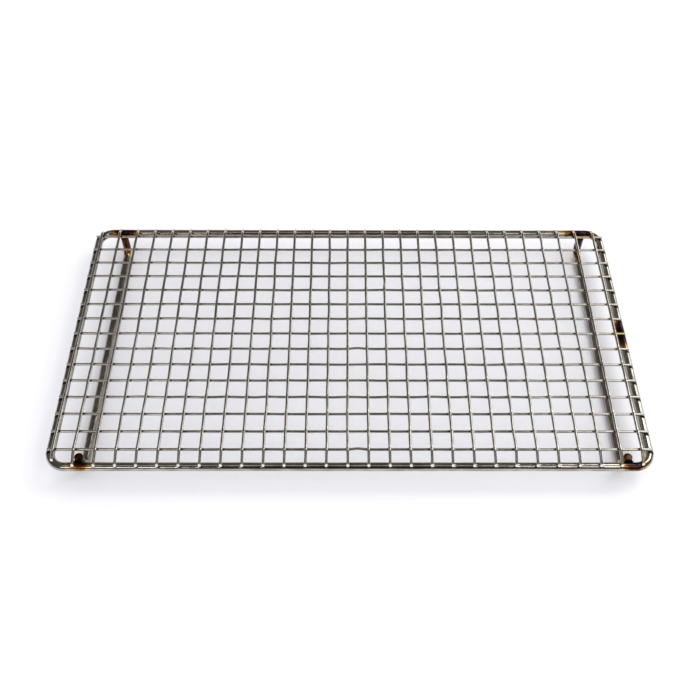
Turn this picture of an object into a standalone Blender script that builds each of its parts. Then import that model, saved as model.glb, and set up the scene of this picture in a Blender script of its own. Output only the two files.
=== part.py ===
"""Footed wire cooling rack: a ring of thick rod, a grid of thin wires on top, two U-shaped legs.

Metres, +Z up.  X runs along the long side, Y from the front edge to the back edge.
The origin is on the surface the rack stands on, at the middle of the rack.
"""

import math

import bpy
import numpy as np

# ---------------------------------------------------------------- driving dimensions
GRID_PITCH = 0.0150          # spacing of the thin wires, the same both ways
LONG_WIRES = 29              # wires that run front to back, side by side along X
CROSS_WIRES = 15             # wires that run left to right, side by side along Y
WIRE_RADIUS = 0.0011
ROD_RADIUS = 0.0032
GAP = 0.0003                 # clearance left between pieces that are welded together

RING_LENGTH = 0.4370         # over the outside of the rod, along X
RING_WIDTH = 0.2364          # over the outside of the rod, along Y
RING_CORNER_RADIUS = 0.0117  # to the middle of the rod
GRID_SHIFT_X = -0.0019       # the grid is welded slightly left of the ring's middle
GRID_SHIFT_Y = 0.0014        # and slightly towards the back

TOTAL_HEIGHT = 0.0270
LEG_X = {"left": -0.1939, "right": 0.1988}
LEG_BEND_RADIUS = 0.0082     # to the middle of the rod
LEG_TOP_BELOW_ROD_TOP = 0.0006
FRONT_WRAP = math.radians(30)        # how far past the front rod's top a long wire is wrapped
BACK_WRAP = math.radians(2)          # and the back rod's, where it is cut almost at the top
WIRE_BEND_START = 0.0015     # how far past the last cross wire the bend down starts
CROSS_WIRE_OVERHANG = 0.0015 # how far a cross wire runs past the middle of the side rod

WIRE_SIDES = 8
ROD_SIDES = 12
CORNER_STEPS = 8
WRAP_STEPS = 4

# ---------------------------------------------------------------- derived heights and places
LONG_WIRE_Z = TOTAL_HEIGHT - WIRE_RADIUS
CROSS_WIRE_Z = LONG_WIRE_Z - 2 * WIRE_RADIUS - GAP
RING_Z = CROSS_WIRE_Z - WIRE_RADIUS - GAP - ROD_RADIUS
RUNNER_Z = ROD_RADIUS
RING_HALF_X = RING_LENGTH / 2 - ROD_RADIUS
RING_HALF_Y = RING_WIDTH / 2 - ROD_RADIUS
UPRIGHT_Y = RING_HALF_Y - 2 * ROD_RADIUS - GAP
LEG_TOP_Z = RING_Z + ROD_RADIUS - LEG_TOP_BELOW_ROD_TOP


def clear_scene():
    """Remove whatever the scene holds before the rack is made."""
    for old in list(bpy.data.objects):
        bpy.data.objects.remove(old, do_unlink=True)


def steel(name, colour, roughness):
    """A plain stainless steel material."""
    material = bpy.data.materials.new(name)
    material.use_nodes = True
    shader = material.node_tree.nodes["Principled BSDF"]
    shader.inputs["Base Color"].default_value = (*colour, 1.0)
    shader.inputs["Metallic"].default_value = 1.0
    shader.inputs["Roughness"].default_value = roughness
    return material


def arc_points(centre, radius, start, end, steps):
    """Points on an arc in a plane, from the start angle to the end angle."""
    angles = np.linspace(start, end, steps + 1)
    return np.column_stack((centre[0] + radius * np.cos(angles),
                            centre[1] + radius * np.sin(angles)))


def sweep_rod(path, normal, radius, sides, closed=False):
    """Vertices and faces of a rod of flat-sided round section along a flat path.

    The path lies in the plane across the normal.  The section's flats, not its
    corners, touch the true radius, and two of them face along the normal.
    """
    path = np.asarray(path, float)
    normal = np.asarray(normal, float)
    if closed:
        before, after = np.roll(path, 1, axis=0), np.roll(path, -1, axis=0)
    else:
        before = np.vstack((2 * path[0] - path[1], path[:-1]))
        after = np.vstack((path[1:], 2 * path[-1] - path[-2]))
    step_in = (path - before) / np.linalg.norm(path - before, axis=1)[:, None]
    step_out = (after - path) / np.linalg.norm(after - path, axis=1)[:, None]
    tangent = step_in + step_out
    tangent /= np.linalg.norm(tangent, axis=1)[:, None]
    widen = 1 / np.sum(tangent * step_in, axis=1)
    across = np.cross(tangent, normal) * widen[:, None]

    angle = (np.arange(sides) + 0.5) * 2 * math.pi / sides
    corner_radius = radius / math.cos(math.pi / sides)
    rings = (path[:, None, :]
             + corner_radius * np.cos(angle)[None, :, None] * across[:, None, :]
             + corner_radius * np.sin(angle)[None, :, None] * normal)
    count = len(path)
    faces = []
    for ring in range(count if closed else count - 1):
        here, there = ring * sides, (ring + 1) % count * sides
        for side in range(sides):
            following = (side + 1) % sides
            faces.append((here + following, here + side, there + side, there + following))
    if not closed:
        faces.append(tuple(range(sides)))
        faces.append(tuple(reversed(range((count - 1) * sides, count * sides))))
    return rings.reshape(-1, 3), faces


def add_piece(name, mesh, material, location, parent):
    """Put a mesh into the scene as one named piece of the rack."""
    if not mesh.materials:
        mesh.materials.append(material)
    piece = bpy.data.objects.new(name, mesh)
    piece.location = location
    piece.parent = parent
    bpy.context.scene.collection.objects.link(piece)
    return piece


def round_mesh(name, vertices, faces):
    """A mesh shaded smooth around its sides and sharp at its cut ends."""
    mesh = bpy.data.meshes.new(name)
    mesh.from_pydata([tuple(point) for point in vertices], [], faces)
    mesh.validate()
    mesh.shade_smooth()
    mesh.set_sharp_from_angle(angle=math.radians(50))
    return mesh


def ring_path():
    """The rounded rectangle that the ring's rod follows, counter-clockwise."""
    inner_x = RING_HALF_X - RING_CORNER_RADIUS
    inner_y = RING_HALF_Y - RING_CORNER_RADIUS
    corners = ((inner_x, inner_y), (-inner_x, inner_y), (-inner_x, -inner_y), (inner_x, -inner_y))
    arcs = [arc_points(corner, RING_CORNER_RADIUS, turn * math.pi / 2, (turn + 1) * math.pi / 2,
                       CORNER_STEPS)
            for turn, corner in enumerate(corners)]
    flat = np.vstack(arcs)
    return np.column_stack((flat, np.zeros(len(flat))))


def ring_edge_at(x):
    """The Y of the rod's middle along the ring's long side at a given X, and its slant there."""
    past_corner = abs(x) - (RING_HALF_X - RING_CORNER_RADIUS)
    slant = math.asin(max(past_corner, 0) / RING_CORNER_RADIUS)
    return RING_HALF_Y - RING_CORNER_RADIUS * (1 - math.cos(slant)), slant


def long_wire_end(rod_y, last_cross_y, wrap_angle):
    """A front-to-back wire's end, in Y and Z: down off the grid and over the rod.

    Worked out for the end at +Y.  The wire leaves the grid's level just past the
    last cross wire and runs straight down to the circle that lies on the rod.  It
    then follows that circle if the wrap angle, from the rod's top, is past there.
    """
    lean_radius = ROD_RADIUS + GAP + WIRE_RADIUS
    bend_y = last_cross_y + WIRE_BEND_START
    reach = math.hypot(rod_y - bend_y, LONG_WIRE_Z - RING_Z)
    rise = math.atan2(LONG_WIRE_Z - RING_Z, bend_y - rod_y)
    touch = rise - math.acos(lean_radius / reach)
    end = math.pi / 2 - wrap_angle
    start, steps = (touch, WRAP_STEPS) if end < touch else (end, 0)
    wrap = arc_points((rod_y, RING_Z), lean_radius, start, end, steps)
    return np.vstack(((bend_y, LONG_WIRE_Z), wrap))


def long_wire_path(x):
    """The whole path of the front-to-back wire at X, from its front end to its back end.

    Where the ring's corner turns away under it, a wire is wrapped less far.
    """
    half_grid = (CROSS_WIRES - 1) / 2 * GRID_PITCH
    rod_y, slant = ring_edge_at(x)
    back = long_wire_end(rod_y, half_grid + GRID_SHIFT_Y, BACK_WRAP * math.cos(slant))
    front = long_wire_end(rod_y, half_grid - GRID_SHIFT_Y, FRONT_WRAP * math.cos(slant)) * (-1, 1)
    flat = np.vstack((front[::-1], back))
    return np.column_stack((np.zeros(len(flat)), flat))


def leg_path():
    """A leg's U shape, from its front cut end, along the runner, to its back cut end."""
    bend_y = UPRIGHT_Y - LEG_BEND_RADIUS
    bend_z = RUNNER_Z + LEG_BEND_RADIUS
    back = arc_points((bend_y, bend_z), LEG_BEND_RADIUS, -math.pi / 2, 0, CORNER_STEPS)
    back = np.vstack((back, (UPRIGHT_Y, LEG_TOP_Z)))
    front = back[::-1] * (-1, 1)
    flat = np.vstack((front, back))
    return np.column_stack((np.zeros(len(flat)), flat))


def make_ring(material, parent):
    """The thick rod bent into a rounded rectangle."""
    mesh = round_mesh("frame_ring", *sweep_rod(ring_path(), (0, 0, 1), ROD_RADIUS, ROD_SIDES, True))
    add_piece("frame_ring", mesh, material, (0, 0, RING_Z), parent)


def make_long_wires(material, parent):
    """The front-to-back wires, numbered from the left."""
    for number in range(LONG_WIRES):
        x = (number - (LONG_WIRES - 1) / 2) * GRID_PITCH + GRID_SHIFT_X
        wire = sweep_rod(long_wire_path(x), (1, 0, 0), WIRE_RADIUS, WIRE_SIDES)
        name = f"long_wire_{number + 1:02d}"
        add_piece(name, round_mesh(name, *wire), material, (x, 0, 0), parent)


def make_cross_wires(material, parent):
    """The left-to-right wires, numbered from the front."""
    half_length = RING_HALF_X + CROSS_WIRE_OVERHANG
    path = ((-half_length, 0, 0), (half_length, 0, 0))
    mesh = round_mesh("cross_wire", *sweep_rod(path, (0, 0, 1), WIRE_RADIUS, WIRE_SIDES))
    for number in range(CROSS_WIRES):
        y = (number - (CROSS_WIRES - 1) / 2) * GRID_PITCH + GRID_SHIFT_Y
        add_piece(f"cross_wire_{number + 1:02d}", mesh, material, (0, y, CROSS_WIRE_Z), parent)


def make_legs(material, parent):
    """The two U-shaped rods that the rack stands on."""
    mesh = round_mesh("leg", *sweep_rod(leg_path(), (1, 0, 0), ROD_RADIUS, ROD_SIDES))
    for side, x in LEG_X.items():
        add_piece(f"{side}_leg", mesh, material, (x, 0, 0), parent)


def main():
    clear_scene()
    thick_steel = steel("polished stainless rod", (0.42, 0.39, 0.36), 0.22)
    wire_steel = steel("drawn stainless wire", (0.60, 0.57, 0.53), 0.30)
    leg_steel = steel("bent stainless leg rod", (0.36, 0.34, 0.31), 0.28)
    rack = bpy.data.objects.new("rack", None)
    bpy.context.scene.collection.objects.link(rack)
    make_ring(thick_steel, rack)
    make_long_wires(wire_steel, rack)
    make_cross_wires(wire_steel, rack)
    make_legs(leg_steel, rack)


main()
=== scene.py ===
# %% [markdown]
# # A footed wire cooling rack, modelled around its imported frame
#
# A bakery cooling rack is a ring of thick rod with a grid of thin wires welded across it and
# two U-shaped legs underneath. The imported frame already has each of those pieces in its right
# place, but as plain straight bars that stop a hair short of each other. Here every one of them
# is made again as the workshop leaves it: drawn wire that is never quite straight, pressed into
# its neighbour at each spot weld, ground ends, weld beads and the colours that heat leaves.

# %% Load the frame
import math

import bpy
import numpy as np
from mathutils import Matrix, Vector


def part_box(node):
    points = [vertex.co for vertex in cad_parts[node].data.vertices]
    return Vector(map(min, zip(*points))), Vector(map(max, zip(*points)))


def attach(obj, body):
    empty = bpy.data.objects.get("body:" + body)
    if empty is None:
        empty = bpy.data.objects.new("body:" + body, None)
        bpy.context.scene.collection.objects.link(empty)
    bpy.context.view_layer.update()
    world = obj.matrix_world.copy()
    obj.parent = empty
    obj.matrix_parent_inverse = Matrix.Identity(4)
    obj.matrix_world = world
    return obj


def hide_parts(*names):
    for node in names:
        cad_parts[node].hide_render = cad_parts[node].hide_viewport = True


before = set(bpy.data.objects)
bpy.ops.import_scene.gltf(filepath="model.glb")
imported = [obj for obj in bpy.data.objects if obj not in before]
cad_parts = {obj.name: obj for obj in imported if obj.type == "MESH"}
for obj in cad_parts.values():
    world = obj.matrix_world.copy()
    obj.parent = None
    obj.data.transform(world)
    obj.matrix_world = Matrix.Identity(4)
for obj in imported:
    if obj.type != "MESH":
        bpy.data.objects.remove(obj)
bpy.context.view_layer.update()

MM = 0.001
print("nodes in the frame:", len(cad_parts))

# %% [markdown]
# ## Measurements
#
# Nothing is placed by eye. A wire's radius is half its box's width, the ring's height is the
# middle of its box, and so on. The few sizes that a box can't tell, such as a bend's radius,
# are written out as the frame's own driving dimensions.

# %% Read the sizes from the frame
LONG_NAMES = sorted(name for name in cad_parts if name.startswith("long_wire"))
CROSS_NAMES = sorted(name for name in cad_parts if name.startswith("cross_wire"))
LEG_NAMES = ("left_leg", "right_leg")


def middle(node):
    """The middle of a node's box, as an array: half of its lowest plus its highest corner."""
    low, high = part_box(node)
    return (np.array(low) + np.array(high)) / 2


ring_low, ring_high = (np.array(corner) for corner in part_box("frame_ring"))
ROD_RADIUS = (ring_high[2] - ring_low[2]) / 2
RING_Z = middle("frame_ring")[2]
RING_HALF = ring_high[:2] - ROD_RADIUS
RING_CORNER = 11.7 * MM

LONG_X = np.array([middle(name)[0] for name in LONG_NAMES])
CROSS_Y = np.array([middle(name)[1] for name in CROSS_NAMES])
CROSS_Z = middle(CROSS_NAMES[0])[2]
CROSS_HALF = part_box(CROSS_NAMES[0])[1][0]
WIRE_RADIUS = (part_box(LONG_NAMES[0])[1][0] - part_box(LONG_NAMES[0])[0][0]) / 2
LONG_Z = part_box(LONG_NAMES[0])[1][2] - WIRE_RADIUS

LEG_X = np.array([middle(name)[0] for name in LEG_NAMES])
LEG_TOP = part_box("left_leg")[1][2]
LEG_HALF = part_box("left_leg")[1][1] - ROD_RADIUS
LEG_BEND = 8.2 * MM
print(f"wire {2000 * WIRE_RADIUS:.1f} mm, rod {2000 * ROD_RADIUS:.1f} mm, "
      f"grid top {1000 * (LONG_Z + WIRE_RADIUS):.1f} mm")

# %% [markdown]
# ## Camera
#
# The rack is looked down on from just past its front edge, with a normal lens. The camera
# comes first, because everything after it is judged through it. It is turned a little about
# the upright axis and rolled a little, as a camera on a tripod is.

# %% Place the camera
CAMERA_PLACE = Vector((-0.0034, -0.4248, 0.5709))
CAMERA_TILT, CAMERA_TURN, CAMERA_ROLL = (math.radians(a) for a in (90 - 53.16, -0.475, 0.43))
camera_data = bpy.data.cameras.new("camera")
camera_data.sensor_width = 36.0
camera_data.lens = 45.33
camera = bpy.data.objects.new("camera", camera_data)
bpy.context.scene.collection.objects.link(camera)
camera.matrix_world = (Matrix.Translation(CAMERA_PLACE)
                       @ Matrix.Rotation(CAMERA_TURN, 4, "Z")
                       @ Matrix.Rotation(CAMERA_TILT, 4, "X")
                       @ Matrix.Rotation(CAMERA_ROLL, 4, "Z"))
bpy.context.scene.camera = camera
bpy.context.scene.view_settings.view_transform = "Standard"
print(f"camera {CAMERA_PLACE.length:.2f} m from the middle of the rack")

# %% [markdown]
# ## Rods and wires as swept surfaces
#
# Every piece of this rack is round bar, so one function will make them all. It carries a round
# section along a path. First it has to be told where along the bar the sections go: far apart
# where nothing happens, and crowded at a weld, where the surface swells within a millimetre.

# %% Places along a bar
WIRE_SIDES = 18
ROD_SIDES = 44
CLOSEST_SECTIONS = 0.08 * MM


def stations(start, end, centres, step, reach, fine):
    """Places along a bar: every step from start to end, and closer around each centre.

    Around a centre c they are c + reach * t^1.4, for fine values of t from -1 to 1 that keep
    their sign, so they crowd towards the middle of the weld.
    """
    spread = np.linspace(-1, 1, fine)
    near = np.add.outer(np.atleast_1d(centres), reach * np.sign(spread) * np.abs(spread) ** 1.4)
    count = max(2, int(round((end - start) / step)) + 1)
    places = np.concatenate((np.linspace(start, end, count), near.ravel()))
    places = np.unique(places[(places >= start) & (places <= end)].round(6))
    keep = np.concatenate(([True], np.diff(places) > CLOSEST_SECTIONS))
    return places[keep]


print("sections on 10 mm of plain wire:", len(stations(0, 10 * MM, [], 2.6 * MM, 0, 1)))

# %% [markdown]
# Neighbouring sections are joined by four-sided faces. The ring joins its last section to its
# first. A wire has two open ends, and each is closed by a fan of triangles to one point.

# %% Faces of a bar


def bar_faces(count, sides, closed):
    """Four-sided faces between neighbouring sections, plus end fans, as index arrays."""
    ring = np.arange(count if closed else count - 1)[:, None]
    side = np.arange(sides)[None, :]
    here, there = ring * sides, (ring + 1) % count * sides
    after = (side + 1) % sides
    quads = np.stack((here + side, here + after, there + after, there + side), axis=-1)
    quads = quads.reshape(-1, 4)
    if closed:
        return quads, np.zeros((0, 3), int)
    first, last = count * sides, count * sides + 1
    low, tail = np.arange(sides), (count - 1) * sides
    after = (low + 1) % sides
    start_fan = np.stack((np.full(sides, first), after, low), axis=-1)
    end_fan = np.stack((np.full(sides, last), tail + low, tail + after), axis=-1)
    return quads, np.concatenate((start_fan, end_fan))


print("faces between two sections of a wire:", len(bar_faces(2, WIRE_SIDES, False)[0]))

# %% [markdown]
# At each station the bar has a centre, a direction across and a direction up, and its surface
# is centre + radius * (cos a * across + sin a * up). Radius is a whole table, one value per
# station and angle, so a weld or a burr is just a bump in that table.
#
# Each point also keeps where it lies on the bar, as distance along, across and up. Metal that
# was pulled through a die is marked along its length, and a pattern laid in those three
# numbers follows the bar round its bends with no seam.

# %% The sweep


def unit(vectors):
    """Each row divided by its own length."""
    return vectors / np.linalg.norm(vectors, axis=-1, keepdims=True)


def section_angles(sides):
    """The angle of each point round a section, from the side towards the top.

    The first one is underneath, at minus a quarter turn, and they go round evenly.
    """
    return -np.pi / 2 - np.arange(sides) * 2 * np.pi / sides


def sweep(centre, across, radius, along, closed=False):
    """Points, faces and bar coordinates of a round bar.

    centre + radius * (cos a * across + sin a * up), where up is across turned a quarter
    about the path. Open ends are closed by a fan to a point.
    """
    if closed:
        tangent = unit(np.roll(centre, -1, axis=0) - np.roll(centre, 1, axis=0))
    else:
        tangent = unit(np.gradient(centre, axis=0))
    across = np.broadcast_to(across, centre.shape)
    across = unit(across - np.sum(across * tangent, axis=1)[:, None] * tangent)
    up = np.cross(across, tangent)
    sides = radius.shape[1]
    angle = section_angles(sides)
    flat_x, flat_y = radius * np.cos(angle), radius * np.sin(angle)
    points = (centre[:, None] + flat_x[..., None] * across[:, None]
              + flat_y[..., None] * up[:, None]).reshape(-1, 3)
    lain = np.stack((np.broadcast_to(along[:, None], radius.shape), flat_x, flat_y), axis=-1)
    lain = lain.reshape(-1, 3)
    if not closed:
        points = np.concatenate((points, centre[[0, -1]]))
        lain = np.concatenate((lain, [[along[0], 0, 0], [along[-1], 0, 0]]))
    return points, bar_faces(len(centre), sides, closed), lain


print("a wire's section has", WIRE_SIDES, "points and a rod's has", ROD_SIDES)

# %% [markdown]
# A surface becomes an object here. The numbers that a finish needs are stored on its points:
# `lain` is the place along, across and up the bar, `tempered` is how hot the metal got beside
# a torch weld, from 0 to 1, and the last is how dark the metal is made: real soot from the spot
# welds, and painted shade and shadow where parts touch. A `tempered` of -1 marks a face that
# was ground after the heat, where the metal is bare and bright.

# %% Turn a surface into a piece
SHARP_EDGE = math.radians(48)
made = []


def add_piece(name, surface, replaces=(), heat=None, soot_and_shade=None):
    """A mesh object from points and faces, riding on the rack's one body."""
    points, (quads, fans), lain = surface
    mesh = bpy.data.meshes.new(name)
    mesh.from_pydata(points.tolist(), [], quads.tolist() + fans.tolist())
    mesh.update()
    mesh.shade_smooth()
    mesh.set_sharp_from_angle(angle=SHARP_EDGE)
    mesh.attributes.new("lain", "FLOAT_VECTOR", "POINT").data.foreach_set(
        "vector", lain.astype(np.float32).ravel())
    for key, values in (("tempered", heat), ("soot_and_shade", soot_and_shade)):
        values = np.zeros(len(points)) if values is None else values
        mesh.attributes.new(key, "FLOAT", "POINT").data.foreach_set(
            "value", values.astype(np.float32))
    piece = bpy.data.objects.new(name, mesh)
    bpy.context.scene.collection.objects.link(piece)
    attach(piece, "root")
    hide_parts(*replaces)
    made.append(piece)
    return piece


print("edges sharper than", round(math.degrees(SHARP_EDGE)), "degrees stay sharp")

# %% [markdown]
# ## Where heat has been
#
# The legs are torch-welded inside the ring at four places, and the ring itself is closed by a
# butt weld on its right side. Stainless steel keeps a record of that: straw, gold and brown
# furthest away, then purple and blue, then a near-black scale at the weld. Each weld is a
# point with its own reach and peak, because a slow hand heats more metal than a quick one, and
# the butt weld joined the whole section of the rod.

# %% Torch welds and their heat
WELD_Y = RING_HALF[1] - ROD_RADIUS
BUTT_Y = 3.5 * MM
torch_welds = (
    ((LEG_X[0] + 1.5 * MM, -WELD_Y, LEG_TOP), 10.5 * MM, 1.0),
    ((LEG_X[1] + 3.0 * MM, -WELD_Y, LEG_TOP), 12.5 * MM, 0.95),
    ((LEG_X[0], WELD_Y, LEG_TOP), 16.0 * MM, 0.85),
    ((LEG_X[1] - 0.5 * MM, WELD_Y, LEG_TOP), 19.0 * MM, 0.86),
    ((RING_HALF[0], BUTT_Y, RING_Z), 17.0 * MM, 1.2),
)
WIRE_SHARE = 0.35            # thin wires lose their heat to the air sooner than thick rod


def heat_at(points, down=1.0):
    """How hot each point got: the peak at a weld, falling straight to 0 at its reach.

    The hottest weld wins. Heights are multiplied by down before the distance is taken, so a
    value below 1 is for a rod that the heat ran down.
    """
    falls = [peak * (1 - np.linalg.norm((points - place) * (1, 1, down), axis=1) / reach)
             for place, reach, peak in torch_welds]
    return np.clip(np.max(falls, axis=0), 0, 1)


print("torch welds:", len(torch_welds))

# %% [markdown]
# ## Never quite straight
#
# Wire comes off a coil and is straightened by rollers, and then each crossing is squeezed by a
# welding electrode. What is left is a slow wander of a tenth of a millimetre or so. It is made
# of a few sine waves whose phases come from a seeded generator, so it is the same every time.
# The other helper marks the welds: a row of bell curves along the bar.

# %% A slow wander, and bumps at the welds
WAVES = np.array((31, 54, 118)) * MM
rng = np.random.default_rng(20)


def wander(places, size):
    """A sum of sine waves of the lengths in WAVES, each with a drawn phase and strength."""
    phase = rng.uniform(0, 2 * np.pi, len(WAVES))
    strength = rng.normal(0, size / math.sqrt(len(WAVES)), len(WAVES))
    waves = np.sin(2 * np.pi * np.divide.outer(places, WAVES) + phase)
    return waves @ strength


def humps(places, centres, width):
    """The sum of bell curves e^-(gap / width)^2 around each centre, cut off at 1."""
    gaps = np.subtract.outer(places, np.atleast_1d(centres))
    return np.minimum(np.exp(-(gaps / width) ** 2).sum(axis=1), 1)


print("a bar wanders in waves of", (WAVES / MM).round().astype(int).tolist(), "mm")

# %% [markdown]
# ## The ring
#
# One length of thick rod, bent at four corners and butt-welded to itself. Its path is a
# rounded rectangle walked by distance, starting at the butt weld, so the place where the bar
# coordinates start and stop is hidden under that weld's bead.

# %% Walk round the ring
straight_x, straight_y = 2 * (RING_HALF - RING_CORNER)
quarter = RING_CORNER * math.pi / 2
RING_AROUND = 2 * (straight_x + straight_y) + 4 * quarter


def ring_walk(distance):
    """Centre and outward direction at distances round the ring, from the butt weld on.

    The walk is anticlockwise from above. Each straight moves along its side, and each corner
    turns on a circle: middle of the corner + radius * (cos t, sin t).
    """
    legs = np.array((straight_y, quarter, straight_x, quarter) * 2)
    edges = np.concatenate(([0], np.cumsum(legs)))
    s = (distance + BUTT_Y + straight_y / 2) % RING_AROUND
    part = np.clip(np.searchsorted(edges, s, side="right") - 1, 0, 7)
    rest = s - edges[part]
    turn = (part // 2 + np.where(part % 2, rest / quarter, 0)) * math.pi / 2
    outward = np.stack((np.cos(turn), np.sin(turn), np.zeros_like(turn)), axis=1)
    forward = np.stack((-np.sin(turn), np.cos(turn), np.zeros_like(turn)), axis=1)
    corner = np.array(((1, 1), (-1, 1), (-1, -1), (1, -1)))
    centre = np.zeros((len(s), 3))
    centre[:, :2] = corner[part // 2 % 4] * (straight_x / 2, straight_y / 2)
    back = np.where(part % 2, 0, legs[part] - rest)
    centre += RING_CORNER * outward - back[:, None] * forward
    centre[:, 2] = RING_Z
    return centre, outward


ROD_STEP = 0.9 * MM
ring_s = np.arange(0, RING_AROUND - 0.4 * MM, ROD_STEP)
ring_centre, ring_out = ring_walk(ring_s)
print(f"the ring takes {1000 * RING_AROUND:.0f} mm of rod")

# %% [markdown]
# The rod is not perfectly round once it is bent and welded: it carries a slight ripple, a low
# bead where it is closed, and a small shoulder of squeezed-out metal at every wire. The
# shoulders are bumps in the radius: along the bar a bell curve around each wire, and round
# the section only where the wire sits, on top.

# %% Shape the ring's surface
RING_DRAWN_UNDER, RING_RIPPLE = 0.02 * MM, 0.012 * MM
SHOULDER_HEIGHT, SHOULDER_WIDTH = 0.34 * MM, 0.9 * MM
BEAD_HEIGHT, BEAD_WIDTH, BEAD_RIPPLE = 0.35 * MM, 1.6 * MM, 0.35 * MM

ring_angle = section_angles(ROD_SIDES)
on_top = np.clip(np.sin(ring_angle), 0, 1) ** 4
at_long = humps(ring_centre[:, 0], LONG_X, SHOULDER_WIDTH) * (np.abs(ring_out[:, 1]) > 0.5)
at_cross = humps(ring_centre[:, 1], CROSS_Y, SHOULDER_WIDTH) * (np.abs(ring_out[:, 0]) > 0.7)
ring_pressed = np.outer(np.maximum(at_long, at_cross), on_top)
to_butt = np.minimum(ring_s, RING_AROUND - ring_s)
bead = (BEAD_HEIGHT * np.exp(-(to_butt / BEAD_WIDTH) ** 2)
        * (0.75 + 0.25 * np.cos(ring_s / BEAD_RIPPLE)))
top_and_inside = np.clip(0.35 - 0.65 * np.cos(ring_angle - 0.2), 0, 1)
ring_radius = (ROD_RADIUS - RING_DRAWN_UNDER + SHOULDER_HEIGHT * ring_pressed
               + np.outer(bead, top_and_inside)
               + RING_RIPPLE * np.sin(np.add.outer(ring_s / (7 * MM), 2 * ring_angle)))
ring_surface = sweep(ring_centre, ring_out, ring_radius, ring_s, closed=True)
print("ring points:", len(ring_surface[0]))

# %% [markdown]
# Just in front of each cross wire, over the outer half of the side rods' tops, a dark patch is
# painted: the shadow and dark reflection of the wire's end on the rod. It is as dark as the
# welds, so it goes into the same numbers as the weld soot: a flat-topped curve,
# e^-(gap / width)^4, along the rod.

# %% Make the ring
# Painted shadow and reflection of each cross wire's end on the side rods.
PAINTED_SHADOW_AHEAD, PAINTED_SHADOW_WIDTH = 1.35 * MM, 1.3 * MM
ahead = np.exp(-((ring_centre[:, 1:2] - CROSS_Y + PAINTED_SHADOW_AHEAD) / PAINTED_SHADOW_WIDTH) ** 4).sum(axis=1)
outer_top = np.clip(1.4 * np.cos(ring_angle - 0.85), 0, 1)
painted_shadow = np.outer(ahead * (np.abs(ring_out[:, 0]) > 0.7), outer_top)
# Where each wire sits on the ring the metal is darkened by weld soot and painted contact shade;
# the patches in front of the cross wires are painted shadow and reflection.
ring = add_piece("ring_rod", ring_surface, ["frame_ring"],
                 heat=heat_at(ring_surface[0]),
                 soot_and_shade=np.maximum(ring_pressed.ravel() ** 0.6, painted_shadow.ravel()))
print("ring faces:", len(ring.data.polygons))

# %% [markdown]
# ## Cut ends
#
# A cut rolls one edge of the wire over. So the last third of a millimetre of a bar's radius is
# thinned into a rounded edge, and the fan in the sweep closes what is left with a flat face.

# %% Thin the ends of a bar
EDGE_AT = np.array((0.0, 0.02, 0.12, 0.30)) * MM
EDGE_KEEPS = np.array((0.60, 0.86, 0.96, 1.0))


def with_ends(places, start, end):
    """The same places with the few extra ones that each end's rounding needs."""
    clear = EDGE_AT[-1] + 0.1 * MM
    inner = places[(places > start + clear) & (places < end - clear)]
    return np.concatenate((start + EDGE_AT, inner, (end - EDGE_AT)[::-1]))


def cropped(places, start, end):
    """The share of its radius that a bar keeps at each place, less near its ends."""
    return (np.interp(places - start, EDGE_AT, EDGE_KEEPS)
            * np.interp(end - places, EDGE_AT, EDGE_KEEPS))


print(f"an edge is rounded over the last {EDGE_AT[-1] / MM:.1f} mm")

# %% [markdown]
# ## Cross wires
#
# These fifteen run left to right, straight across the ring, and lie under the others. Every
# crossing is a resistance weld: the electrodes squeeze the wires together while the current
# melts the touching spot. So each one swells up into its neighbour above, and where it lies
# on the ring it swells down. A segment in the first row, one in the fourth and one in the
# seventh were knocked, and bow between their welds.
#
# Each crossing is darkened: partly real soot from the weld, partly painted shade for the crevice
# between the two wires. The painted shade shows on the side that faces the middle of the rack,
# so each dark spot is set up to half a millimetre that way.

# %% Shape a cross wire
DRAWN_RADIUS = WIRE_RADIUS - 0.05 * MM
WELD_WIDTH = 1.05 * MM
WIRE_STEP, WELD_REACH, WELD_SECTIONS = 2.6 * MM, 2.6 * MM, 13
RING_SIDES_X = np.array((-RING_HALF[0], RING_HALF[0]))
KNOCKED = {0: (14, 0.75 * MM), 6: (14, 0.6 * MM), 3: (9, -0.35 * MM)}

wire_angle = section_angles(WIRE_SIDES)
wire_top = np.clip(np.sin(wire_angle), 0, 1) ** 2
wire_under = np.clip(-np.sin(wire_angle), 0, 1) ** 2
wire_flank = np.cos(wire_angle) ** 2
# Centres of the dark spots, moved towards the rack's middle, where the painted crevice shade
# shows.
soot_and_shade_x = LONG_X - 0.5 * MM * np.clip(LONG_X / (60 * MM), -1, 1)


def bowed(places, first, last, height):
    """A segment bent between two welds: height * sin^2 of the way across, else 0."""
    share = np.clip((places - first) / (last - first), 0, 1)
    return height * np.sin(np.pi * share) ** 2


def cross_wire_radius(places):
    """Radius by place and angle: drawn wire + swellings towards what it is welded to."""
    at_wire = humps(places, LONG_X, WELD_WIDTH)
    at_ring = humps(places, RING_SIDES_X, 1.6 * MM)
    radius = (DRAWN_RADIUS + 0.42 * MM * np.outer(at_wire, wire_top)
              + 0.45 * MM * np.outer(at_ring, wire_under)
              + 0.05 * MM * np.outer(at_wire, wire_flank))
    return radius * cropped(places, -CROSS_HALF, CROSS_HALF)[:, None]


print("knocked segments:", len(KNOCKED))

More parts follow.
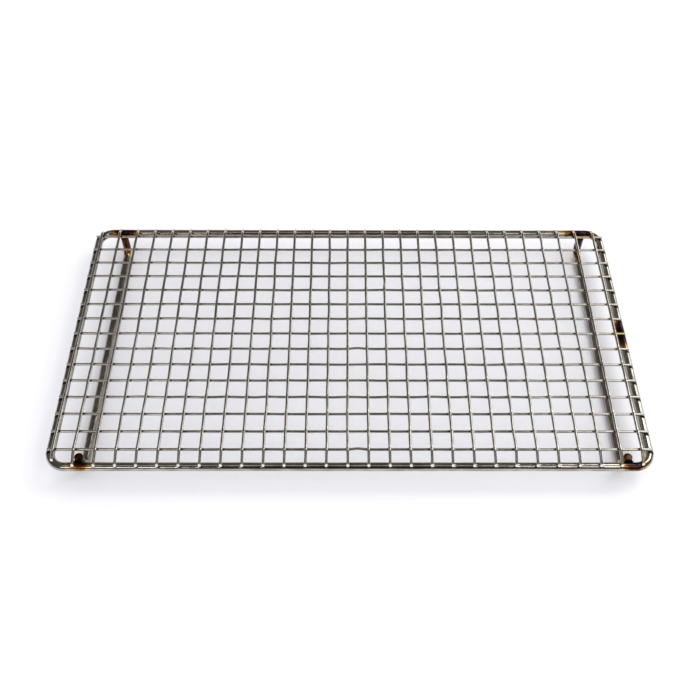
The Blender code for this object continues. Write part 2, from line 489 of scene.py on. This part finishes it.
# %% Make the cross wires
for row, name in enumerate(CROSS_NAMES):
    places = stations(-CROSS_HALF, CROSS_HALF, np.append(LONG_X, RING_SIDES_X), WIRE_STEP,
                      WELD_REACH, WELD_SECTIONS)
    places = with_ends(places, -CROSS_HALF, CROSS_HALF)
    line = CROSS_Y[row] + wander(places, 0.12 * MM)
    if row in KNOCKED:
        cell, bow = KNOCKED[row]
        line += bowed(places, LONG_X[cell], LONG_X[cell + 1], bow)
    height = CROSS_Z + wander(places, 0.04 * MM) * (1 - humps(places, RING_SIDES_X, 9 * MM))
    centre = np.stack((places, line, height), axis=1)
    surface = sweep(centre, (0, -1, 0), cross_wire_radius(places), places)
    # Weld soot plus painted crevice shade round each crossing, on the top of the cross wire.
    near = np.outer(humps(places, soot_and_shade_x, 2.1 * MM), np.clip(0.3 + np.sin(wire_angle), 0, 1))
    add_piece(f"grid_{name}", surface, [name], heat=WIRE_SHARE * heat_at(surface[0]),
              soot_and_shade=np.append(near, (0, 0)))
print("cross wires:", len(CROSS_NAMES), "each with", len(places), "sections")

# %% [markdown]
# ## Long wires
#
# These twenty-nine run from front to back on top of the cross wires. At both ends they dip to
# the lower ring, lean over it and are cut: well over the rod's top at the front, and right at
# its top at the back. The height is worked out from the place along the wire: level over the
# grid, then a straight line down to the circle that lies on the rod, then that circle. A
# moving average over three millimetres turns the two corners into bends.

# %% The line of a long wire
LEAN = ROD_RADIUS + DRAWN_RADIUS
BEND_START = 1.5 * MM
FRONT_WRAP, BACK_WRAP = math.radians(30), math.radians(2)
FRONT_SHORT, BACK_SHORT = 0.8 * MM, 0.3 * MM


def rod_middle(x):
    """How far from the rack's middle the ring's long side is at x, and its slant there."""
    past = np.clip(abs(x) - (RING_HALF[0] - RING_CORNER), 0, RING_CORNER)
    slant = math.asin(past / RING_CORNER)
    return RING_HALF[1] - RING_CORNER * (1 - math.cos(slant)), slant


def end_height(out, last_cross, rod):
    """Height of the wire's middle at a distance out from the rack's middle, for one end."""
    bend = last_cross + BEND_START
    reach = math.hypot(rod - bend, LONG_Z - RING_Z)
    touch = math.atan2(LONG_Z - RING_Z, bend - rod) - math.acos(LEAN / reach)
    touch_out, touch_z = rod + LEAN * math.cos(touch), RING_Z + LEAN * math.sin(touch)
    slope = (touch_z - LONG_Z) / (touch_out - bend)
    line = LONG_Z + slope * np.clip(out - bend, 0, None)
    circle = RING_Z + np.sqrt(np.clip(LEAN ** 2 - (out - rod) ** 2, 0, None))
    return np.where(out < touch_out, line, circle)


def long_wire_line(x, places, start, end):
    """Height at each place along Y, softened by a moving average three millimetres long."""
    rod, _ = rod_middle(x)
    dense = np.arange(start - 3 * MM, end + 3 * MM, 0.1 * MM)
    height = np.where(dense > 0, end_height(dense, CROSS_Y[-1], rod),
                      end_height(-dense, -CROSS_Y[0], rod))
    kernel = np.hanning(31)
    height = np.convolve(height, kernel / kernel.sum(), mode="same")
    return np.interp(places, dense, height)


print(f"a long wire drops {(LONG_Z - RING_Z - LEAN) / MM:.1f} mm to lie on the ring")

# %% [markdown]
# The electrode comes down on these wires, so each weld has a flattened top that is a little
# wider than the wire, and a swelling underneath that meets the wire below. Both ends are
# pressed onto the rod and then ground at a slant that faces up. That leaves the small bright
# spots along the front edge. The slant is a shear: each point moves along the wire by a share
# of its height in the section, and the share dies away a few millimetres from the end.

# %% Shape a long wire
BENT = {16: (10, 0.5 * MM), 5: (3, -0.3 * MM)}
FRONT_GRIND, BACK_GRIND = 0.9, 0.7


def long_wire_places(start, end):
    """Places along a long wire: crowded at its welds, and half a millimetre apart at its ends."""
    places = stations(start, end, CROSS_Y, WIRE_STEP, WELD_REACH, WELD_SECTIONS)
    front = stations(start, start + 7 * MM, [], 0.5 * MM, 0, 1)
    back = stations(end - 6 * MM, end, [], 0.5 * MM, 0, 1)
    return with_ends(np.unique(np.concatenate((places, front, back)).round(5)), start, end)


def long_wire_radius(places, start, end, at_front, at_rod):
    """Radius by place and angle: drawn wire, flat on top of a weld, swollen under and beside."""
    at_wire = humps(places, CROSS_Y, WELD_WIDTH)
    radius = (DRAWN_RADIUS - 0.13 * MM * np.outer(at_wire, wire_top ** 2)
              + 0.28 * MM * np.outer(at_wire, wire_under)
              + 0.10 * MM * np.outer(at_wire, wire_flank)
              + 0.12 * MM * np.outer(at_front, wire_flank)
              + 0.25 * MM * np.outer(at_rod, wire_under))
    return radius * cropped(places, start, end)[:, None]


def grind_ends(surface, centre, places, start, end):
    """Shear both ends in place: point + share * its height in the section * the wire's way."""
    share = (FRONT_GRIND * np.clip(1 - (places - start) / (4 * MM), 0, 1) ** 1.5
             - BACK_GRIND * np.clip(1 - (end - places) / (3 * MM), 0, 1) ** 1.5)
    moved = np.repeat(share, WIRE_SIDES) * surface[2][:-2, 2]
    way = np.repeat(unit(np.gradient(centre, axis=0)), WIRE_SIDES, axis=0)
    surface[0][:-2] += moved[:, None] * way


print("bent long wires:", len(BENT))

# %% Make the long wires
for column, name in enumerate(LONG_NAMES):
    x = LONG_X[column]
    rod, slant = rod_middle(x)
    start = -rod - LEAN * math.sin(FRONT_WRAP * math.cos(slant)) + FRONT_SHORT
    end = rod + LEAN * math.sin(BACK_WRAP * math.cos(slant)) - BACK_SHORT
    places = long_wire_places(start, end)
    line = x + wander(places, 0.13 * MM)
    if column in BENT:
        cell, bow = BENT[column]
        line += bowed(places, CROSS_Y[cell], CROSS_Y[cell + 1], bow)
    over_grid = np.clip((rod - 4 * MM - np.abs(places)) / (12 * MM), 0, 1)
    height = long_wire_line(x, places, start, end) - over_grid * np.abs(wander(places, 0.05 * MM))
    centre = np.stack((line, places, height), axis=1)
    at_front = np.exp(-((places - start) / (2.4 * MM)) ** 2)
    at_rod = np.maximum(at_front, np.exp(-((places - end) / (2.0 * MM)) ** 2))
    radius = long_wire_radius(places, start, end, at_front, at_rod)
    surface = sweep(centre, (1, 0, 0), radius, places)
    grind_ends(surface, centre, places, start, end)
    # Weld soot plus painted crevice shade under each crossing, and painted contact shade under the
    # ends where they lie on the ring.
    near = np.outer(humps(places, CROSS_Y, 1.8 * MM), np.clip(0.15 - np.sin(wire_angle), 0, 1))
    near = np.maximum(near, np.outer(at_rod, wire_under))
    heat = WIRE_SHARE * heat_at(surface[0])
    heat[:-2].reshape(-1, WIRE_SIDES)[[0, 1, -2, -1]] = -1
    heat[-2:] = -1
    add_piece(f"grid_{name}", surface, [name], heat=heat, soot_and_shade=np.append(near, (0, 0)))
print("long wires:", len(LONG_NAMES), "each with", len(places), "sections")

# %% [markdown]
# ## Legs
#
# Each leg is a piece of the same rod bent twice on a tight radius: up at the front, a runner
# along the bench, up at the back. The inside of a tight bend is squeezed and the outside
# stretched, so the rod is a touch flatter there: in the bends the section's radius is the
# rod's times 1 - 0.03 * sin^2 of the angle round it.

# %% Walk along a leg
leg_up = LEG_TOP - (ROD_RADIUS + LEG_BEND)
leg_run = 2 * (LEG_HALF - LEG_BEND)
leg_turn = LEG_BEND * math.pi / 2
LEG_LENGTH = 2 * leg_up + 2 * leg_turn + leg_run


def leg_walk(distance):
    """Middle of the rod, in Y and Z, and how bent it is, at distances along a leg.

    Half a leg is worked out from its middle: level for half the runner, then round the bend as
    a circle, then straight up. The other half is its mirror image.
    """
    out = distance - LEG_LENGTH / 2
    s = np.abs(out)
    turn = np.clip((s - leg_run / 2) / LEG_BEND, 0, math.pi / 2)
    rise = np.clip(s - leg_run / 2 - leg_turn, 0, None)
    y = np.minimum(s, leg_run / 2) + LEG_BEND * np.sin(turn)
    z = ROD_RADIUS + LEG_BEND * (1 - np.cos(turn)) + rise
    bend = np.sin(2 * turn)
    return np.sign(out) * y, z, bend


print(f"each leg takes {1000 * LEG_LENGTH:.0f} mm of rod")

# %% [markdown]
# The torch played on the legs' cut tops, so the heat there is set and not worked out: brown
# faces inside a nearly black edge. From there it ran down the uprights and was lost to the
# bench. The right leg's front end is made darker as well.

# %% Make the legs
END_FACE, END_MIDDLE, END_EDGE = 0.50, 0.45, 0.85
leg_angle = section_angles(ROD_SIDES)

for name, x in zip(LEG_NAMES, LEG_X):
    places = with_ends(np.arange(0, LEG_LENGTH, ROD_STEP), 0, LEG_LENGTH)
    y, z, bend = leg_walk(places)
    on_runner = np.clip((LEG_HALF - 14 * MM - np.abs(y)) / (20 * MM), 0, 1)
    sideways = x + wander(places, 0.12 * MM) * on_runner
    centre = np.stack((sideways, y, z), axis=1)
    oval = 1 - 0.03 * np.outer(bend, 0.5 - 0.5 * np.cos(2 * leg_angle))
    end_edge = np.interp(np.minimum(places, LEG_LENGTH - places) / MM,
                         (0, 0.05, 0.35, 0.8), (0.84, 0.93, 0.99, 1.0))
    radius = (ROD_RADIUS - 0.01 * MM) * oval * end_edge[:, None]
    surface = sweep(centre, (1, 0, 0), radius, places)
    heat = heat_at(surface[0], down=0.25)
    heat *= np.clip((surface[0][:, 2] - ROD_RADIUS) / (3 * MM), 0, 1)
    rows = heat[:-2].reshape(-1, ROD_SIDES)
    rows[[1, 2, -3, -2]] = END_EDGE
    rows[[0, -1]] = END_FACE
    heat[-2:] = END_MIDDLE
    darkened = np.zeros_like(heat)
    # The right leg's front end is darkened with the same dark colour as the welds.
    if name == "right_leg":
        darkened[:ROD_SIDES] = darkened[-2] = 0.62
    add_piece(f"bent_{name}", surface, [name], heat=heat, soot_and_shade=darkened)
print("legs:", len(LEG_NAMES), "each with", len(places), "sections")

# %% [markdown]
# ## Weld beads
#
# A leg's upright stands against the inside of the ring and is fused to it along the groove
# between the two. The bead is a small crescent with ripples, one for each dab of the torch.
# It is a closed bar again: a short path that follows the groove across the leg's top, whose
# radius swells in the middle, dies away at both ends and ripples on the way.

# %% Make the four beads
BEAD_SIDES = 20
CRESCENT_HALF, CRESCENT_RADIUS = 3.3 * MM, 1.25 * MM

for side, x in zip(("left", "right"), LEG_X):
    for place, sign in (("front", -1), ("back", 1)):
        share = np.linspace(-1, 1, 41)
        across = share * CRESCENT_HALF
        drop = 0.45 * MM + 0.9 * MM * share ** 2
        centre = np.stack((x + across, sign * (WELD_Y - 0.15 * MM + 0.35 * MM * share ** 2),
                           LEG_TOP - drop), axis=1)
        swell = np.sqrt(np.clip(1.001 - share ** 2, 0, 1)) * CRESCENT_RADIUS
        ripple = 1 + 0.07 * np.cos(share * 17 + x * 900)
        wobble = 1 + 0.05 * np.sin(np.add.outer(share * 9, 3 * section_angles(BEAD_SIDES)))
        surface = sweep(centre, (0, 1, 0), (swell * ripple)[:, None] * wobble, across)
        add_piece(f"weld_bead_{side}_{place}", surface, (),
                  heat=np.full(len(surface[0]), 0.95))
print("beads made:", sum(piece.name.startswith("weld_bead") for piece in made))

# %% [markdown]
# ## Finishes
#
# All of it is austenitic stainless steel, and what differs is how each piece was made. A metal
# has no colour of its own under its shine: its base colour is the share of each light it
# sends back, so it stays bright and nearly neutral, and the roughness decides how sharp the
# room shows in it. Colours are given as screen hex values and turned to linear light here.

# %% Small helpers for materials


def linear(code, alpha=1.0):
    """A hex colour as linear light: below 0.04045 divide by 12.92, else ((c+.055)/1.055)^2.4."""
    parts = np.array([int(code[i:i + 2], 16) / 255 for i in (1, 3, 5)])
    low, high = parts / 12.92, ((parts + 0.055) / 1.055) ** 2.4
    return (*np.where(parts <= 0.04045, low, high).tolist(), alpha)


def add(tree, kind, links=None, **settings):
    """A node with its settings; links maps an input to a value or to another node's output."""
    node = tree.nodes.new(kind)
    for key, value in settings.items():
        setattr(node, key, value)
    for key, value in (links or {}).items():
        if isinstance(value, bpy.types.NodeSocket):
            tree.links.new(value, node.inputs[key])
        else:
            node.inputs[key].default_value = value
    return node


print("middle grey in linear light:", round(linear("#808080")[0], 3))

# %% [markdown]
# ### Marks on the bar
#
# Three patterns are laid in the bar's own coordinates, each with a size along and across it in
# millimetres. Die lines are long and a few tenths of a millimetre apart. Handling leaves
# slower cloudy patches one or two centimetres long. Pits and scale are specks of a few
# millimetres; the real ones are far finer, and are drawn as coarse as they need to show.

# %% Noise along the bar
CLOUD_LONG, CLOUD_WIDE = 13.333, 3.846
LINE_LONG, SPECK = 16.667, 2.381


def bar_marks(tree, line_width):
    """Noise for die lines, clouds and specks: each is noise of (place on the bar / size)."""
    lain = add(tree, "ShaderNodeAttribute", attribute_name="lain").outputs["Vector"]
    marks = []
    for sizes, detail in (((LINE_LONG, line_width, line_width), 3.0),
                          ((CLOUD_LONG, CLOUD_WIDE, CLOUD_WIDE), 4.0),
                          ((SPECK, SPECK, SPECK), 3.0)):
        laid = add(tree, "ShaderNodeMapping",
                   {"Vector": lain, "Scale": [1 / (size * MM) for size in sizes]})
        noise = add(tree, "ShaderNodeTexNoise",
                    {"Vector": laid.outputs[0], "Scale": 1.0, "Detail": detail})
        marks.append(noise.outputs["Fac"])
    return marks


print(f"clouds {CLOUD_LONG:.0f} mm long, specks {SPECK:.1f} mm across")

# %% [markdown]
# ### Temper colours
#
# The order of temper colours is fixed by physics, since the oxide film only grows with heat:
# straw, gold, brown, purple, blue, then a dull dark scale. The specks shift the heat up and
# down by a quarter either way, which gives each colour an uneven edge.

# %% Colours of heated steel
TEMPER = (
    (0.10, "#C8BBA0"),
    (0.24, "#B8996A"),
    (0.36, "#8C6238"),
    (0.48, "#502B18"),
    (0.57, "#422724"),
    (0.63, "#383450"),
    (0.70, "#241B18"),
    (1.00, "#19110D"),
)


def warmth(tree, heat, specks):
    """Heat with an uneven edge: heat + (specks - 0.5) / 2 where there is any, held in 0 to 1."""
    uneven = add(tree, "ShaderNodeMath", {0: specks, 1: 0.5}, operation="SUBTRACT")
    edge = add(tree, "ShaderNodeMath", {0: uneven.outputs[0], 1: 0.5, 2: heat},
               operation="MULTIPLY_ADD")
    gate = add(tree, "ShaderNodeMath", {0: heat, 1: 0.02}, operation="GREATER_THAN")
    return add(tree, "ShaderNodeMath", {0: edge.outputs[0], 1: gate.outputs[0]},
               operation="MULTIPLY", use_clamp=True).outputs[0]


def tempered_colour(tree, metal, bare, warm):
    """The metal's colour, giving way to the temper colour as the warmth goes 0.02 to 0.14."""
    temper = add(tree, "ShaderNodeValToRGB", {"Fac": warm})
    stops = temper.color_ramp.elements
    stops[0].position, stops[0].color = 0.0, linear(bare)
    stops[1].position, stops[1].color = TEMPER[-1][0], linear(TEMPER[-1][1])
    for place, code in TEMPER[:-1]:
        stops.new(place).color = linear(code)
    tint = add(tree, "ShaderNodeMapRange", {"Value": warm, "From Min": 0.02, "From Max": 0.14})
    return add(tree, "ShaderNodeMix", {"Factor": tint.outputs[0], 6: metal,
                                       7: temper.outputs["Color"]}, data_type="RGBA").outputs[2]


print("temper colours:", len(TEMPER))

# %% [markdown]
# ### Stainless bar
#
# One recipe serves the wires, the ring and the legs, with its own numbers for each. The bare
# colour is mottled by the clouds. Heat tints it, and at the welds it is nearly hidden by a
# dark colour that is partly real weld soot and partly painted shade and shadow where parts
# touch. A ground face shows bright new metal over all of that. Die lines score the surface and
# vary its roughness, and scale makes it rougher still.

# %% Stainless steel with its history
# The first colour is shared by weld soot and by painted shade and shadow.
SOOT_AND_SHADE, NEW_METAL = "#1F1A16", "#F4F2EE"


def stainless(name, bare, dull, roughness, line_depth, line_width=0.35):
    """A stainless bar's finish: its two colours, its roughness, and its die lines in mm."""
    material = bpy.data.materials.new(name)
    material.use_nodes = True
    tree = material.node_tree
    shader = tree.nodes["Principled BSDF"]
    shader.inputs["Metallic"].default_value = 1.0
    lines, clouds, specks = bar_marks(tree, line_width)
    heat = add(tree, "ShaderNodeAttribute", attribute_name="tempered").outputs["Fac"]
    soot_and_shade = add(tree, "ShaderNodeAttribute", attribute_name="soot_and_shade").outputs["Fac"]
    warm = warmth(tree, heat, specks)

    mottle = add(tree, "ShaderNodeMapRange", {"Value": clouds, "From Min": 0.38,
                                              "From Max": 0.66})
    metal = add(tree, "ShaderNodeMix", {"Factor": mottle.outputs[0], 6: linear(bare),
                                        7: linear(dull)}, data_type="RGBA")
    tinted = tempered_colour(tree, metal.outputs[2], bare, warm)
    # Mixes in the dark colour: weld soot, and painted shade and shadow where parts touch.
    darkening = add(tree, "ShaderNodeMapRange", {"Value": soot_and_shade, "From Min": 0.25, "From Max": 0.8,
                                            "To Max": 0.92}, interpolation_type="SMOOTHSTEP")
    darkened = add(tree, "ShaderNodeMix", {"Factor": darkening.outputs[0], 6: tinted,
                                        7: linear(SOOT_AND_SHADE)}, data_type="RGBA")
    ground = add(tree, "ShaderNodeMapRange", {"Value": heat, "From Min": -0.3,
                                              "From Max": -0.8})
    colour = add(tree, "ShaderNodeMix", {"Factor": ground.outputs[0], 6: darkened.outputs[2],
                                         7: linear(NEW_METAL)}, data_type="RGBA")
    tree.links.new(colour.outputs[2], shader.inputs["Base Color"])

    polish = add(tree, "ShaderNodeMapRange", {"Value": lines, "From Min": 0.3, "From Max": 0.7,
                                              "To Min": roughness * 0.75,
                                              "To Max": roughness * 1.3})
    scale = add(tree, "ShaderNodeMapRange", {"Value": warm, "From Min": 0.45, "From Max": 0.85,
                                             "To Min": 0.0, "To Max": 0.28})
    worn = add(tree, "ShaderNodeMath", {0: polish.outputs[0], 1: scale.outputs[0]},
               operation="ADD")
    rough = add(tree, "ShaderNodeMath", {0: ground.outputs[0], 1: 0.22, 2: worn.outputs[0]},
                operation="MULTIPLY_ADD")
    tree.links.new(rough.outputs[0], shader.inputs["Roughness"])

    score = add(tree, "ShaderNodeBump", {"Height": lines, "Strength": 1.0,
                                         "Distance": line_depth * MM})
    pits = add(tree, "ShaderNodeBump", {"Height": specks, "Strength": 1.0,
                                        "Distance": 0.02 * MM, "Normal": score.outputs[0]})
    tree.links.new(pits.outputs[0], shader.inputs["Normal"])
    return material


# Drawn wire is pale, and its fine die lines blur the room into soft streaks along it.
wire_finish = stainless("drawn stainless wire", "#CBC7BF", "#A6A29A", 0.14, 0.008)
# The ring's rod was polished after drawing, so it mirrors the room the most sharply.
ring_finish = stainless("polished stainless rod", "#BDB8AE", "#928C83", 0.11, 0.006, 0.5)
# The legs are left as bent: darker, with deeper lines that break up their reflections.
leg_finish = stainless("bent stainless leg rod", "#A09A91", "#78726B", 0.14, 0.012, 0.5)
print("finishes:", wire_finish.name, ring_finish.name, leg_finish.name)

# %% [markdown]
# Each piece takes the finish of the bar it is made from. The weld beads grew out of the legs'
# rod, so they share its finish, with all the heat of a torch weld on them.

# %% Give each piece its finish
for piece in made:
    finish = wire_finish
    if piece.name == "ring_rod":
        finish = ring_finish
    elif piece.name.startswith(("bent_", "weld_bead")):
        finish = leg_finish
    piece.data.materials.append(finish)
print("pieces with a finish:", len(made))

# %% [markdown]
# ## Floor
#
# The rack stands on a pale matte sheet. It is one flat square, large enough that its edge is
# out of view from above. Uncoated paper scatters light evenly and has no gloss, so its
# specular level is 0, and it looks the same from a low angle as from above.

# %% Make the floor
FLOOR_HALF = 4.0
floor_corners = np.array(((-1, -1, 0), (1, -1, 0), (1, 1, 0), (-1, 1, 0))) * FLOOR_HALF
floor_mesh = bpy.data.meshes.new("floor")
floor_mesh.from_pydata((floor_corners + (0, 0, -0.1 * MM)).tolist(), [], [(0, 1, 2, 3)])
floor = bpy.data.objects.new("floor", floor_mesh)
bpy.context.scene.collection.objects.link(floor)
paper = bpy.data.materials.new("matte white paper")
paper.use_nodes = True
paper_shader = paper.node_tree.nodes["Principled BSDF"]
paper_shader.inputs["Base Color"].default_value = linear("#E9E9EB")
paper_shader.inputs["Roughness"].default_value = 0.9
paper_shader.inputs["Specular IOR Level"].default_value = 0.0
floor_mesh.materials.append(paper)
print(f"floor {2 * FLOOR_HALF:.0f} m square")

# %% [markdown]
# ## Light
#
# Bright metal shows the room more than it shows itself, so the lights are shapes as much as
# they are brightness. Two softboxes stand to the right, behind and above the rack, and draw
# the bright lines along its right side. One in front on each side lights the front rod and the
# corners. A long narrow one overhead and a dim backdrop low behind lift the tops of the cross
# wires. Between them the room stays dark, which is what draws the dark lines along each rod.

# %% Hang the softboxes


def softbox(name, towards, distance, size, brightness):
    """A rectangular light seen in a direction (azimuth from +Y towards +X, elevation).

    Its power is pi * area * brightness, so brightness is what it looks like in a mirror.
    """
    azimuth, elevation = (math.radians(a) for a in towards)
    direction = Vector((math.sin(azimuth) * math.cos(elevation),
                        math.cos(azimuth) * math.cos(elevation), math.sin(elevation)))
    light = bpy.data.lights.new(name, "AREA")
    light.shape = "RECTANGLE"
    light.size, light.size_y = size
    light.energy = math.pi * size[0] * size[1] * brightness
    lamp = bpy.data.objects.new(name, light)
    lamp.location = direction * distance
    lamp.rotation_euler = direction.to_track_quat("Z", "Y").to_euler()
    lamp.visible_camera = False
    bpy.context.scene.collection.objects.link(lamp)
    return lamp


lamps = [
    softbox("softbox_right_behind", (58, 22), 0.95, (0.45, 0.30), 3.0),
    softbox("softbox_right_above", (62, 52), 1.5, (0.6, 0.6), 4.2),
    softbox("softbox_front_right", (141, 50), 1.5, (0.45, 0.42), 2.8),
    softbox("softbox_front_left", (-152, 35), 1.5, (0.45, 0.40), 2.8),
    softbox("softbox_overhead", (180, 80), 1.5, (1.4, 0.20), 1.3),
    softbox("softbox_backdrop", (0, 7), 1.5, (2.0, 0.32), 0.9),
]
print("softboxes:", len(lamps), "with", round(sum(lamp.data.energy for lamp in lamps), 1), "W")

# %% [markdown]
# The room is three rooms at once, by what kind of ray asks. A reflection in the steel sees it
# dim, and darker still behind the camera, where whoever works it blocks the wall. Light
# scattered by the matte floor sees a bright even fill, which is what keeps the paper white
# between the wires. A camera that looks past the floor sees plain white.

# %% Light the room
BEHIND_CAMERA = (0.0, -0.64, 0.768)

world = bpy.data.worlds.new("room")
world.use_nodes = True
bpy.context.scene.world = world
room = world.node_tree
room.nodes.clear()
towards = add(room, "ShaderNodeTexCoord").outputs["Generated"]
facing = add(room, "ShaderNodeVectorMath", {0: towards, 1: BEHIND_CAMERA},
             operation="DOT_PRODUCT")
shade = add(room, "ShaderNodeMapRange", {"Value": facing.outputs["Value"], "From Min": 0.80,
                                         "From Max": 0.98, "To Min": 0.15, "To Max": 0.02},
            interpolation_type="SMOOTHSTEP")
dim = add(room, "ShaderNodeBackground", {"Color": linear("#FFFAF2"), "Strength": shade.outputs[0]})
pale = add(room, "ShaderNodeBackground", {"Color": linear("#FDFCFF"), "Strength": 0.87})
fill = add(room, "ShaderNodeBackground", {"Color": linear("#FBFBFF"), "Strength": 1.11})
path = add(room, "ShaderNodeLightPath")
lit = add(room, "ShaderNodeMixShader", {0: path.outputs["Is Diffuse Ray"], 1: dim.outputs[0],
                                        2: fill.outputs[0]})
both = add(room, "ShaderNodeMixShader", {0: path.outputs["Is Camera Ray"], 1: lit.outputs[0],
                                         2: pale.outputs[0]})
add(room, "ShaderNodeOutputWorld", {"Surface": both.outputs[0]})
print("room nodes:", len(room.nodes))
